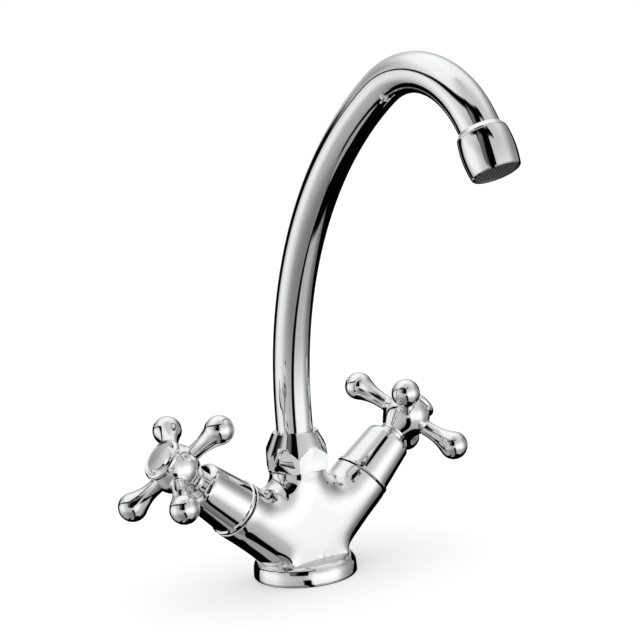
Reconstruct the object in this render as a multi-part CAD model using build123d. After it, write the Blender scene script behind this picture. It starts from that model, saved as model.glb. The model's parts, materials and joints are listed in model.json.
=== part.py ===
"""Two handle kitchen mixer: cast Y body, swan-neck swivel spout and two cross handles.

Millimetres, +Z up. The origin is the centre of the base's underside, the spout reaches
towards -Y, and the left valve arm leans towards -X. Each valve is built upright about its
own Z axis, with z = 0 where the two arm axes cross, and is then leaned into its arm.
"""
from build123d import *
from math import asin, cos, hypot, radians, sin, tan
import os

# ---------------------------------------------------------------- driving dimensions
RUN_GAP = 0.05              # radial or end gap round everything that turns
FIT_GAP = 0.05              # radial gap of screwed and pushed-in pieces
SEAT_GAP = 0.1              # gap between a cover and the face it closes on
CUT_PAST = 1.0              # how far a cutter runs past the faces it opens
SMALL_CHAMFER = 0.3         # broken edge of a rim

# body
ARM_LEAN = 50.0             # lean of each valve arm from upright, degrees
ARM_CROSS_Z = 9.3           # height where both arm axes cross the spout's axis
ARM_ROOT_R = 15.3           # arm radius near the crossing
ARM_END_R = 14.5            # arm radius at its end face
ARM_START = 4.2             # the arm castings start this far out, inside the core
ARM_LENGTH = 48.5           # crossing to end face, along the arm
ARM_EDGE = 0.7              # rounding of the arm's end edge
BASE_R = 25.5
BASE_WALL = 4.8             # upright part of the base flange
BASE_TOP_Z = 9.4            # top of the flange's rounded shoulder
BASE_TOP_R = 22.4
BASE_EDGE = 0.5
CORE_R = 14.9               # core between the arms
CORE_FOOT_Z = 10.4          # core meets the flange's top here
CORE_STRAIGHT_Z = 20.0
NECK_R = 14.0
NECK_FOOT_Z = 45.0
NECK_SHOULDER_Z = 53.3
NECK_TOP_Z = 63.0
NECK_THREAD_R = 12.0
BEND_MARGIN = 2.2           # the neck's bends start this far below its shoulder
BEND_TUBE_R = 14.5          # radius of a bend's round section at its middle
WEB_SINK = 0.04             # the web's faces lie this far inside the rounds they join
WEB_TRIM = 0.7              # the web ends this far short of the bends' centre lines
ARM_FOOT_R = 22.0           # below the arms the casting stands upright on the flange
ARM_FOOT_HALF = 14.9        # half width of that foot, just inside the arms' sides

# waterways and deck fixings
HOSE_HOLE_R = 4.5           # core hole of the M10 x 1 hose threads
HOSE_HOLE_X = 9.0
HOSE_HOLE_DEPTH = 15.0
STUD_HOLE_R = 3.4           # core hole of the M8 fixing stud's thread
STUD_HOLE_Y = 10.3
STUD_HOLE_DEPTH = 14.0
INLET_R = 4.0
OUTLET_R = 2.5
OUTLET_Z = 36.5
OUTLET_REACH = 21.0
MIXING_R = 6.5
MIXING_FLOOR_Z = 32.0
GASKET_R = 22.1             # middle radius of the base gasket
GASKET_WIDTH = 2.8
GASKET_DEPTH = 1.8

# spout
TUBE_R = 9.0
TUBE_WALL = 1.0
TUBE_BEND_Z = 81.1          # the tube is straight up to here
RISE_RADIUS = 183.0         # long bend up and forward
RISE_ANGLE = 58.5
CREST_RADIUS = 47.0         # short bend over the top
CREST_ANGLE = 94.5
TUBE_END_RUN = 5.4          # straight end, mostly inside the end collar

# spigot that carries the spout in the neck
SPIGOT_R = 8.75
SPIGOT_BORE_R = 6.0
SPIGOT_LENGTH = 18.0
SPIGOT_SLEEVE = 5.5         # sleeve brazed inside the tube
FLANGE_R = 11.0
FLANGE_HEIGHT = 2.4
SPOUT_ORING_R = 0.9         # section radius
SPOUT_ORING_DROPS = (5.0, 12.0)     # below the neck's top
SLIDE_RING_HEIGHT = 1.5
SLIDE_RING_SLIT = 2.0
MIXING_STEP = 1.0           # room under the spigot
SPIGOT_CHAMFER = 0.5
SLIDE_RING_MARGIN = 0.3     # the slide ring is this much smaller than the nut's thread

# spout nut
NUT_FLATS = 29.0
NUT_BOTTOM_Z = 53.6
NUT_TOP_Z = 72.0
NUT_TOP_R = 11.0
NUT_CONE = 0.49             # radius gained per millimetre down the domed top
NUT_TURN = 0.0              # how the corners stand when the nut is tight, degrees
NUT_FOOT_CHAMFER = 0.6
NUT_LIP_GAP = 0.15          # radial gap between the nut's lip and the turning tube

# spout end and aerator, measured along the spout's end axis from the housing's top
COLLAR_ABOVE = 2.4
COLLAR_TOP_R = 9.35
COLLAR_R = 10.7
COLLAR_LENGTH = 7.0
COLLAR_LIP = 2.0            # inner lip that the tube's end stops on
COLLAR_FLARE_END = 0.4      # short upright edge below the flare
COLLAR_THREAD_R = 10.3
HOUSING_LENGTH = 17.6
HOUSING_TOP_R = 11.0
HOUSING_MID_R = 11.6
HOUSING_END_R = 10.7
HOUSING_BELLY = 0.55        # widest point, as a share of the length
HOUSING_EDGE = 0.5
HOUSING_LIP = 1.2
HOUSING_LIP_R = 9.2
AERATOR_WASHER = 1.5
INSERT_R = 9.9
INSERT_WALL = 1.4
INSERT_RECESS = 0.6         # the screen lies this far inside the insert's mouth
SCREEN_THICK = 0.6
SCREEN_PITCH = 1.9
SCREEN_GAP = 1.3
SCREEN_RIM = 0.8            # unbroken rim round the mesh
SPRAY_PLATE = 1.2
SPRAY_HOLES = 12
SPRAY_HOLE_R = 0.6
SPRAY_CIRCLE_R = 5.6

# valve, along the arm axis from the crossing
SEAT_S = 28.0
CHAMBER_R = 9.3
THREAD_START = 40.0
VALVE_THREAD_R = 10.35
CAGE_R = 8.7
SEAL_HEIGHT = 1.9
SEAL_R = 7.0
SEAL_BORE_R = 5.0
DISC_R = 7.7
DISC_HEIGHT = 3.0
DISC_WINDOW = 80.0          # span of each water window, degrees
DISC_WINDOW_IN_R = 2.0
DISC_WINDOW_OUT_R = 6.2
TONGUE_WIDTH = 3.2
TONGUE_HEIGHT = 1.2
CAGE_WINDOW = 9.0
CAGE_WINDOW_HEIGHT = 3.0
CAGE_ROOM = 3.6             # room above the discs for the spindle's foot
FOOT_HEIGHT = 3.2
FOOT_WIDTH = 8.0
FOOT_MARGIN = 0.3           # the spindle's foot is this much smaller than the discs
BONNET_FLATS = 21.0
BONNET_HEX_HEIGHT = 5.5
BONNET_MID_R = 8.5
BONNET_MID_TOP = 68.0
BONNET_NECK_R = 6.75
BONNET_TOP = 77.0
BONNET_ORING_R = 0.8
BONNET_ORING_DROP = 1.9     # below the arm's end face
SPINDLE_R = 5.0
SPINDLE_ORINGS = (60.0, 64.0)
SPINDLE_ORING_R = 0.8
SPINDLE_SQUARE = 6.9
SPINDLE_TOP = 90.5
SQUARE_SHOULDER = 0.4       # round part above the circlip's groove
CIRCLIP_S = 77.1            # bottom of the circlip's groove
CIRCLIP_THICK = 0.6
CIRCLIP_DEPTH = 0.8
CIRCLIP_R = 5.4
CIRCLIP_OPENING = 70.0

# bell cover over each valve
SHROUD_RIM_R = 14.1
SHROUD_RIM_HEIGHT = 2.4
SHROUD_FOOT_R = 13.6
SHROUD_SHOULDER_R = 11.8
SHROUD_SHOULDER_S = 72.2
SHROUD_CROWN_R = 8.4
SHROUD_BULGE = 0.2          # rise of the shoulder's arc, as a share of its chord
SHROUD_TOP = 74.9
SHROUD_WALL = 1.0
SHROUD_BOSS_WALL = 1.6      # inner boss that screws onto the bonnet's neck

# cross handle
HUB_BOTTOM = 77.2
HUB_COLLAR_R = 6.9
HUB_COLLAR_TOP = 78.4
HUB_R = 12.0
HUB_BELLY_S = 88.4          # the hub is widest here
HUB_FLARE = 0.62            # slope of the bulb's side at both ends
HUB_TOP = 96.6
HUB_TOP_R = 9.9
HUB_RECESS_R = 5.7
HUB_RECESS_DEPTH = 2.0
HUB_WEB = 1.6
ARM_PLANE = 89.2            # the four grip arms lie in this plane
BALL_CIRCLE_R = 29.0
BALL_R = 7.1
WAIST_R = 3.8
WAIST_AT = 14.5
GRIP_ROOT_FILLET = 1.6
LEFT_HANDLE_TURN = 54.5     # how the handles stand when closed, degrees
RIGHT_HANDLE_TURN = 42.0
SCREW_R = 2.5
SCREW_LENGTH = 9.0
SCREW_HOLE_SPARE = 0.5      # the tapped hole is this much deeper than the screw
SCREW_HEAD_R = 4.6
SCREW_HEAD_HEIGHT = 2.4
SCREW_HEAD_ROUND = 0.8
SCREW_SLOT = 1.2            # width and depth of the driver slot
CAP_SOCKET_R = 6.5
CAP_SKIRT_WALL = 1.0
CAP_SKIRT_LENGTH = 3.6
CAP_R = 10.6
CAP_RIM_HEIGHT = 3.3
CAP_FACE_R = 7.2
CAP_FACE_HEIGHT = 4.0
CAP_DOME = 0.5
CAP_GROOVE = 0.5            # depth of the groove between rim and face
CAP_GROOVE_WIDTH = 0.3
CAP_ROLL = 1.2              # the rim rolls in by this much at its top
CAP_ROLL_MIDDLE = 0.4
CAP_FACE_BEVEL = 0.4

# ---------------------------------------------------------------- sizes worked out
neck_bore_r = SPIGOT_R + RUN_GAP
flange_bottom = NECK_TOP_Z + RUN_GAP
flange_top = flange_bottom + FLANGE_HEIGHT
slide_ring_bottom = flange_top + RUN_GAP
slide_ring_top = slide_ring_bottom + SLIDE_RING_HEIGHT
tube_bore_r = TUBE_R - TUBE_WALL
spigot_bottom = flange_bottom - SPIGOT_LENGTH
seal_top = SEAT_S + SEAL_HEIGHT
fixed_disc_top = seal_top + DISC_HEIGHT
moving_disc_top = fixed_disc_top + DISC_HEIGHT
foot_bottom = moving_disc_top + RUN_GAP
cage_top = moving_disc_top + CAGE_ROOM
screw_seat = SPINDLE_TOP + FIT_GAP + HUB_WEB
tube_stop = COLLAR_LENGTH - COLLAR_LIP
washer_bottom = COLLAR_LENGTH + AERATOR_WASHER
lip_start = HOUSING_LENGTH - HOUSING_LIP
insert_bore_r = INSERT_R - INSERT_WALL
bonnet_oring_s = ARM_LENGTH - BONNET_ORING_DROP
bend_reach = min(NECK_SHOULDER_Z - ARM_CROSS_Z, ARM_LENGTH) - BEND_MARGIN
bend_r = bend_reach * tan(radians(ARM_LEAN / 2))
bend_top_z = ARM_CROSS_Z + bend_reach
bend_end_r = ARM_ROOT_R + (ARM_END_R - ARM_ROOT_R) * (bend_reach - ARM_START) / (ARM_LENGTH - ARM_START)


# ---------------------------------------------------------------- helpers
def turned(*lines):
    """Solid turned about Z from a closed outline of (radius, height) lines and arcs."""
    return revolve(Plane.XZ * make_face(Wire(lines)), Axis.Z)


def turned_corners(*corners):
    """Solid turned about Z from the corners of a straight-sided outline."""
    return turned(*Polyline(*corners, close=True).edges())


def ring(inner_r, outer_r, bottom, top):
    return turned_corners((inner_r, bottom), (outer_r, bottom), (outer_r, top), (inner_r, top))


def rod(radius, bottom, top):
    return Pos(0, 0, (bottom + top) / 2) * Cylinder(radius, top - bottom)


def block(width, depth, bottom, top):
    return Pos(0, 0, (bottom + top) / 2) * Box(width, depth, top - bottom)


def hexagon(flats, bottom, top):
    outline = RegularPolygon(flats / 2, 6, major_radius=False)
    return Pos(0, 0, bottom) * extrude(outline, top - bottom)


def torus_ring(outer_r, section_r, height):
    return Pos(0, 0, height) * Torus(outer_r - section_r, section_r)


def oring_groove(shaft_r, section_r, height):
    """Groove as deep as the O-ring is thick, cut in from a shaft's surface."""
    half = section_r + FIT_GAP
    return ring(shaft_r - 2 * section_r, shaft_r + CUT_PAST, height - half, height + half)


def sector(inner_r, outer_r, span, bottom, top):
    """Part of a ring, centred on +X and spanning the given angle."""
    reach = 2 * outer_r
    half = radians(span / 2)
    wedge = make_face(Polyline((0, 0), (reach * cos(half), -reach * sin(half)),
                               (reach * cos(half), reach * sin(half)), close=True))
    return ring(inner_r, outer_r, bottom, top) & Pos(0, 0, bottom) * extrude(wedge, top - bottom)


def polar(shape, count, start=0.0):
    return [Rot(0, 0, start + 360 * step / count) * shape for step in range(count)]


def arm_plane(side):
    """Plane whose Z runs out along a valve arm; its X looks towards the spout."""
    lean = radians(ARM_LEAN)
    return Plane(origin=(0, 0, ARM_CROSS_Z), x_dir=(0, -1, 0), z_dir=(side * sin(lean), 0, cos(lean)))


def on_arm(side, shape):
    return arm_plane(side).location * shape


def save(name, shape):
    """Write one node; a group of loose solids stays a group."""
    solids = shape.solids()
    node = solids[0] if len(solids) == 1 else Compound(children=solids)
    node.label = name
    export_step(node, f"parts/{name}.step")


# ---------------------------------------------------------------- body and deck seal
def arm_foot(side):
    """Upright foot between an arm's widest line and the base flange."""
    reach = side * ARM_FOOT_R
    rise = ARM_FOOT_R / tan(radians(ARM_LEAN))
    outline = make_face(Polyline((0, BASE_WALL), (reach, BASE_WALL), (reach, ARM_CROSS_Z + rise),
                                 (0, ARM_CROSS_Z), close=True))
    wedge = extrude(Plane.XZ * outline, ARM_FOOT_HALF, both=True)
    return wedge & rod(ARM_FOOT_R, BASE_WALL, ARM_CROSS_Z + rise)


def neck_bend(side):
    """Round section carried from the neck round a crotch into an arm, so that they flow together."""
    lean = radians(ARM_LEAN)
    start = Vector(0, 0, bend_top_z)
    outward = Vector(side * sin(lean / 2), 0, cos(lean / 2))
    middle = Vector(side * bend_r, 0, bend_top_z) - outward * bend_r
    end = Vector(side * sin(lean), 0, cos(lean)) * bend_reach + Vector(0, 0, ARM_CROSS_Z)
    path = ThreePointArc(start, middle, end)
    sections = [Plane(origin=path @ along, x_dir=(0, 1, 0), z_dir=path % along) * Circle(radius)
                for along, radius in ((0, NECK_R), (0.5, BEND_TUBE_R), (1, bend_end_r))]
    return sweep(sections=sections, path=path, multisection=True)


def front_web():
    """Tapered web that closes the space between arms and neck, level with their rounds."""
    lean = radians(ARM_LEAN)
    end_x = bend_reach * sin(lean)
    end_z = ARM_CROSS_Z + bend_reach * cos(lean)
    middle_z = bend_top_z - bend_r * cos(lean / 2)
    kite = make_face(Polyline((0, ARM_CROSS_Z), (end_x, end_z), (0, bend_top_z), (-end_x, end_z), close=True))
    for side in (-1, 1):
        kite -= Pos(side * bend_r, bend_top_z) * Circle(bend_r + WEB_TRIM)
    levels = ((ARM_ROOT_R, ARM_CROSS_Z), (BEND_TUBE_R, middle_z), (NECK_R, bend_top_z))
    front = [(half - WEB_SINK, level) for half, level in levels]
    back = [(-half, level) for half, level in reversed(front)]
    taper = make_face(Polyline(*front, *back, close=True))
    return (extrude(Plane.XZ * kite, ARM_ROOT_R, both=True)
            & extrude(Plane.YZ * taper, bend_reach, both=True))


def body_casting():
    """Flanged core and neck in one turned shape; two arms flow into it."""
    core = turned(
        Line((0, 0), (BASE_R - BASE_EDGE, 0)),
        Line((BASE_R - BASE_EDGE, 0), (BASE_R, BASE_EDGE)),
        Line((BASE_R, BASE_EDGE), (BASE_R, BASE_WALL)),
        RadiusArc((BASE_R, BASE_WALL), (BASE_TOP_R, BASE_TOP_Z), -(BASE_TOP_Z - BASE_WALL)),
        Line((BASE_TOP_R, BASE_TOP_Z), (CORE_R, CORE_FOOT_Z)),
        Line((CORE_R, CORE_FOOT_Z), (CORE_R, CORE_STRAIGHT_Z)),
        Spline((CORE_R, CORE_STRAIGHT_Z), (NECK_R, NECK_FOOT_Z), tangents=((0, 1), (0, 1))),
        Line((NECK_R, NECK_FOOT_Z), (NECK_R, NECK_SHOULDER_Z)),
        Line((NECK_R, NECK_SHOULDER_Z), (0, NECK_SHOULDER_Z)),
        Line((0, NECK_SHOULDER_Z), (0, 0)),
    )
    arm = turned_corners((0, ARM_START), (ARM_ROOT_R, ARM_START),
                         (ARM_END_R, ARM_LENGTH), (0, ARM_LENGTH))
    arm = fillet(arm.edges().group_by(Axis.Z)[-1], ARM_EDGE)
    casting = core + on_arm(-1, arm) + on_arm(1, arm) + front_web()
    for part in (neck_bend, arm_foot):
        casting = casting + part(1) + part(-1)
    return casting + rod(NECK_THREAD_R, NECK_SHOULDER_Z, NECK_TOP_Z)


def valve_bore():
    """Chamber, seat and screwed mouth that are cut into an arm."""
    return (rod(CHAMBER_R, SEAT_S, THREAD_START)
            + rod(VALVE_THREAD_R + FIT_GAP, THREAD_START, ARM_LENGTH + CUT_PAST))


def waterway(side):
    """Hose hole, inlet up to the valve seat, and outlet back to the mixing chamber."""
    turn_s = HOSE_HOLE_X / sin(radians(ARM_LEAN))
    turn_z = ARM_CROSS_Z + HOSE_HOLE_X / tan(radians(ARM_LEAN))
    hose = rod(HOSE_HOLE_R, -CUT_PAST, HOSE_HOLE_DEPTH) + rod(INLET_R, 0, turn_z)
    hose += Pos(0, 0, turn_z) * Sphere(INLET_R)
    outlet = Pos(side * OUTLET_REACH / 2, 0, OUTLET_Z) * Rot(0, 90, 0) * Cylinder(OUTLET_R, OUTLET_REACH)
    return (Pos(side * HOSE_HOLE_X, 0, 0) * hose
            + on_arm(side, rod(INLET_R, turn_s, SEAT_S + CUT_PAST))
            + outlet)


def body():
    casting = body_casting()
    casting -= rod(neck_bore_r, spigot_bottom - MIXING_STEP, NECK_TOP_Z + CUT_PAST)
    casting -= rod(MIXING_R, MIXING_FLOOR_Z, spigot_bottom)
    for side in (-1, 1):
        casting -= on_arm(side, valve_bore())
        casting -= waterway(side)
    casting -= Pos(0, STUD_HOLE_Y, 0) * rod(STUD_HOLE_R, -CUT_PAST, STUD_HOLE_DEPTH)
    half = GASKET_WIDTH / 2
    return casting - ring(GASKET_R - half, GASKET_R + half, -CUT_PAST, GASKET_DEPTH)


def base_gasket():
    half = GASKET_WIDTH / 2 - FIT_GAP
    return ring(GASKET_R - half, GASKET_R + half, 0, GASKET_DEPTH)


# ---------------------------------------------------------------- spout
def spout_path():
    """Centre line: straight rise, long bend, short bend over the crest, short straight end."""
    def point(angle, centre_reach, centre_z, radius):
        a = radians(angle)
        return (0, -(centre_reach - radius * cos(a)), centre_z + radius * sin(a))

    rise = (RISE_RADIUS, TUBE_BEND_Z, RISE_RADIUS)
    crest_reach = RISE_RADIUS - (RISE_RADIUS - CREST_RADIUS) * cos(radians(RISE_ANGLE))
    crest_z = TUBE_BEND_Z + (RISE_RADIUS - CREST_RADIUS) * sin(radians(RISE_ANGLE))
    crest = (crest_reach, crest_z, CREST_RADIUS)
    end_angle = RISE_ANGLE + CREST_ANGLE
    bend_start = (0, 0, TUBE_BEND_Z)
    bend_join = point(RISE_ANGLE, *rise)
    bend_end = Vector(*point(end_angle, *crest))
    heading = Vector(0, -sin(radians(end_angle)), cos(radians(end_angle)))
    lines = [
        Line((0, 0, flange_top), bend_start),
        ThreePointArc(bend_start, point(RISE_ANGLE / 2, *rise), bend_join),
        ThreePointArc(bend_join, point(RISE_ANGLE + CREST_ANGLE / 2, *crest), bend_end),
        Line(bend_end, bend_end + heading * TUBE_END_RUN),
    ]
    return Wire(lines), bend_end, heading


def spout_tube():
    path, _, _ = spout_path()
    section = Pos(0, 0, flange_top) * (Circle(TUBE_R) - Circle(tube_bore_r))
    return sweep(section, path)


def spout_end_location():
    """Frame at the top of the aerator housing, Z running out of the spout."""
    _, bend_end, heading = spout_path()
    top = bend_end + heading * (TUBE_END_RUN - tube_stop)
    return Plane(origin=top, x_dir=(1, 0, 0), z_dir=heading).location


def spout_spigot():
    """Flanged spigot that turns in the neck, its sleeve brazed inside the tube."""
    spigot = turned_corners(
        (SPIGOT_BORE_R, spigot_bottom), (SPIGOT_R - SPIGOT_CHAMFER, spigot_bottom),
        (SPIGOT_R, spigot_bottom + SPIGOT_CHAMFER), (SPIGOT_R, flange_bottom),
        (FLANGE_R, flange_bottom), (FLANGE_R, flange_top),
        (tube_bore_r - FIT_GAP, flange_top), (tube_bore_r - FIT_GAP, flange_top + SPIGOT_SLEEVE),
        (SPIGOT_BORE_R, flange_top + SPIGOT_SLEEVE))
    for drop in SPOUT_ORING_DROPS:
        spigot -= oring_groove(SPIGOT_R, SPOUT_ORING_R, NECK_TOP_Z - drop)
    return spigot


def spout_orings():
    outer = SPIGOT_R + RUN_GAP / 2
    return Compound(children=[torus_ring(outer, SPOUT_ORING_R, NECK_TOP_Z - drop)
                              for drop in SPOUT_ORING_DROPS])


def slide_ring():
    """Split plastic ring between the spigot's flange and the nut."""
    full = ring(TUBE_R + RUN_GAP, NECK_THREAD_R - SLIDE_RING_MARGIN, slide_ring_bottom, slide_ring_top)
    slit = block(SLIDE_RING_SLIT, NECK_THREAD_R, slide_ring_bottom - CUT_PAST, slide_ring_top + CUT_PAST)
    return full - Pos(0, NECK_THREAD_R, 0) * slit


def spout_nut():
    """Hexagon nut with a coned top, so that each flat ends in an arch."""
    lip_bottom = slide_ring_top + FIT_GAP
    corner_r = NUT_FLATS / 2 / cos(radians(30))
    cone_foot_z = NUT_TOP_Z - (corner_r - NUT_TOP_R) / NUT_CONE
    envelope = turned_corners(
        (0, NUT_BOTTOM_Z), (corner_r - NUT_FOOT_CHAMFER, NUT_BOTTOM_Z),
        (corner_r, NUT_BOTTOM_Z + NUT_FOOT_CHAMFER), (corner_r, cone_foot_z),
        (NUT_TOP_R, NUT_TOP_Z), (0, NUT_TOP_Z))
    nut = Rot(0, 0, NUT_TURN) * (hexagon(NUT_FLATS, NUT_BOTTOM_Z, NUT_TOP_Z) & envelope)
    nut -= rod(NECK_THREAD_R + FIT_GAP, NUT_BOTTOM_Z - CUT_PAST, lip_bottom)
    return nut - rod(TUBE_R + NUT_LIP_GAP, lip_bottom - CUT_PAST, NUT_TOP_Z + CUT_PAST)


# ---------------------------------------------------------------- aerator
def spout_end_collar():
    """Flared collar brazed over the tube's end, threaded for the aerator housing."""
    return turned_corners(
        (TUBE_R + FIT_GAP, -COLLAR_ABOVE), (COLLAR_TOP_R, -COLLAR_ABOVE), (COLLAR_R, -COLLAR_FLARE_END),
        (COLLAR_R, 0), (COLLAR_THREAD_R, 0), (COLLAR_THREAD_R, COLLAR_LENGTH), (tube_bore_r, COLLAR_LENGTH),
        (tube_bore_r, tube_stop), (TUBE_R + FIT_GAP, tube_stop))


def aerator_housing():
    """Slightly barrelled screw cap with a thin lip round its mouth."""
    thread_r = COLLAR_THREAD_R + FIT_GAP
    insert_r = INSERT_R + FIT_GAP
    belly = ThreePointArc((HOUSING_TOP_R, HOUSING_EDGE), (HOUSING_MID_R, HOUSING_LENGTH * HOUSING_BELLY),
                          (HOUSING_END_R, HOUSING_LENGTH - HOUSING_EDGE))
    rest = Polyline((HOUSING_END_R, HOUSING_LENGTH - HOUSING_EDGE),
                    (HOUSING_END_R - HOUSING_EDGE, HOUSING_LENGTH),
                    (HOUSING_LIP_R, HOUSING_LENGTH), (HOUSING_LIP_R, lip_start),
                    (insert_r, lip_start), (insert_r, washer_bottom), (thread_r, washer_bottom),
                    (thread_r, 0), (HOUSING_TOP_R - HOUSING_EDGE, 0), (HOUSING_TOP_R, HOUSING_EDGE))
    return turned(belly, *rest.edges())


def aerator_washer():
    return ring(tube_bore_r, COLLAR_THREAD_R, COLLAR_LENGTH, washer_bottom)


def aerator_insert():
    """Plastic cup with a spray plate; it is open towards the screen."""
    plate_end = washer_bottom + SPRAY_PLATE
    cup = rod(INSERT_R, washer_bottom, lip_start) - rod(insert_bore_r, plate_end, lip_start + CUT_PAST)
    hole = Pos(SPRAY_CIRCLE_R, 0, 0) * rod(SPRAY_HOLE_R, washer_bottom - CUT_PAST, plate_end + CUT_PAST)
    for copy in polar(hole, SPRAY_HOLES):
        cup -= copy
    return cup


def aerator_screen():
    """Square-mesh screen held just inside the insert's mouth."""
    disc = Circle(insert_bore_r - FIT_GAP)
    count = int(2 * insert_bore_r / SCREEN_PITCH) + 1
    corner_reach = hypot(SCREEN_GAP, SCREEN_GAP) / 2
    for spot in GridLocations(SCREEN_PITCH, SCREEN_PITCH, count, count):
        if spot.position.length + corner_reach < insert_bore_r - SCREEN_RIM:
            disc -= spot * Rectangle(SCREEN_GAP, SCREEN_GAP)
    return Pos(0, 0, lip_start - INSERT_RECESS - SCREEN_THICK) * extrude(disc, SCREEN_THICK)


# ---------------------------------------------------------------- valve
def disc_windows(bottom, top, start):
    window = sector(DISC_WINDOW_IN_R, DISC_WINDOW_OUT_R, DISC_WINDOW, bottom - CUT_PAST, top + CUT_PAST)
    return polar(window, 2, start)


def valve_seal():
    return ring(SEAL_BORE_R, SEAL_R, SEAT_S, seal_top)


def fixed_disc():
    disc = rod(DISC_R, seal_top, fixed_disc_top)
    for window in disc_windows(seal_top, fixed_disc_top, 0):
        disc -= window
    return disc


def moving_disc():
    """Upper ceramic disc, closed a quarter turn off the lower one, with a driving slot."""
    disc = rod(DISC_R, fixed_disc_top + RUN_GAP / 2, moving_disc_top)
    for window in disc_windows(fixed_disc_top, moving_disc_top, 90):
        disc -= window
    slot_floor = moving_disc_top - TONGUE_HEIGHT
    return disc - block(TONGUE_WIDTH + 2 * FIT_GAP, 4 * DISC_R, slot_floor, moving_disc_top + CUT_PAST)


def valve_bonnet():
    """Screwed headwork: disc cage, thread, hexagon and the neck that guides the spindle."""
    outside = (rod(CAGE_R, seal_top, THREAD_START)
               + rod(VALVE_THREAD_R, THREAD_START, ARM_LENGTH)
               + hexagon(BONNET_FLATS, ARM_LENGTH, ARM_LENGTH + BONNET_HEX_HEIGHT)
               + rod(BONNET_MID_R, ARM_LENGTH, BONNET_MID_TOP)
               + rod(BONNET_NECK_R, ARM_LENGTH, BONNET_TOP))
    inside = (rod(DISC_R + FIT_GAP, seal_top - CUT_PAST, cage_top)
              + rod(SPINDLE_R + RUN_GAP, seal_top, BONNET_TOP + CUT_PAST))
    window = block(4 * CAGE_R, CAGE_WINDOW, moving_disc_top, moving_disc_top + CAGE_WINDOW_HEIGHT)
    return outside - inside - window - oring_groove(VALVE_THREAD_R, BONNET_ORING_R, bonnet_oring_s)


def bonnet_oring():
    return torus_ring(VALVE_THREAD_R + FIT_GAP / 2, BONNET_ORING_R, bonnet_oring_s)


def valve_spindle():
    """Spindle: tongue and foot at the disc, guided shaft, and a square for the handle."""
    foot_r = DISC_R - FOOT_MARGIN
    foot = rod(foot_r, foot_bottom, foot_bottom + FOOT_HEIGHT)
    foot &= block(FOOT_WIDTH, 2 * foot_r, foot_bottom, foot_bottom + FOOT_HEIGHT)
    tongue_bottom = moving_disc_top - TONGUE_HEIGHT + FIT_GAP
    tongue = rod(foot_r, tongue_bottom, foot_bottom)
    tongue &= block(TONGUE_WIDTH, 2 * foot_r, tongue_bottom, foot_bottom)
    groove_top = CIRCLIP_S + CIRCLIP_THICK + 2 * RUN_GAP
    spindle = (foot + tongue + rod(SPINDLE_R, foot_bottom, groove_top + SQUARE_SHOULDER)
               + block(SPINDLE_SQUARE, SPINDLE_SQUARE, groove_top, SPINDLE_TOP))
    spindle -= ring(SPINDLE_R - CIRCLIP_DEPTH, SPINDLE_R + CUT_PAST, CIRCLIP_S, groove_top)
    for height in SPINDLE_ORINGS:
        spindle -= oring_groove(SPINDLE_R, SPINDLE_ORING_R, height)
    tapped_floor = screw_seat - SCREW_LENGTH - SCREW_HOLE_SPARE
    return spindle - rod(SCREW_R + FIT_GAP, tapped_floor, SPINDLE_TOP + CUT_PAST)


def spindle_orings():
    outer = SPINDLE_R + RUN_GAP / 2
    return Compound(children=[torus_ring(outer, SPINDLE_ORING_R, height) for height in SPINDLE_ORINGS])


def spindle_circlip():
    bottom = CIRCLIP_S + RUN_GAP
    top = bottom + CIRCLIP_THICK
    clip = ring(SPINDLE_R - CIRCLIP_DEPTH + FIT_GAP, CIRCLIP_R, bottom, top)
    return clip - sector(FIT_GAP, 2 * CIRCLIP_R, CIRCLIP_OPENING, bottom - CUT_PAST, top + CUT_PAST)


def valve_shroud():
    """Thin bell cover: base rim, slight taper, round shoulder and a screwed inner boss."""
    foot = ARM_LENGTH + SEAT_GAP
    rim_top = foot + SHROUD_RIM_HEIGHT
    neck_r = BONNET_NECK_R + FIT_GAP
    boss_r = neck_r + SHROUD_BOSS_WALL
    boss_bottom = BONNET_MID_TOP + SEAT_GAP
    shoulder = (SHROUD_SHOULDER_R, SHROUD_SHOULDER_S)
    crown = (SHROUD_CROWN_R, SHROUD_TOP)
    chord = Vector(*crown) - Vector(*shoulder)
    bulge = (Vector(*crown) + Vector(*shoulder)) / 2 + Vector(chord.Y, -chord.X) * SHROUD_BULGE
    outline = Polyline(
        crown, (neck_r, SHROUD_TOP), (neck_r, boss_bottom), (boss_r, boss_bottom),
        (boss_r, SHROUD_SHOULDER_S), (SHROUD_SHOULDER_R - SHROUD_WALL, SHROUD_SHOULDER_S),
        (SHROUD_FOOT_R - SHROUD_WALL, rim_top), (SHROUD_FOOT_R - SHROUD_WALL, foot),
        (SHROUD_RIM_R - SMALL_CHAMFER, foot), (SHROUD_RIM_R, foot + SMALL_CHAMFER),
        (SHROUD_RIM_R, rim_top - SMALL_CHAMFER), (SHROUD_FOOT_R, rim_top), shoulder)
    return turned(ThreePointArc(shoulder, bulge, crown), *outline.edges())


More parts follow.
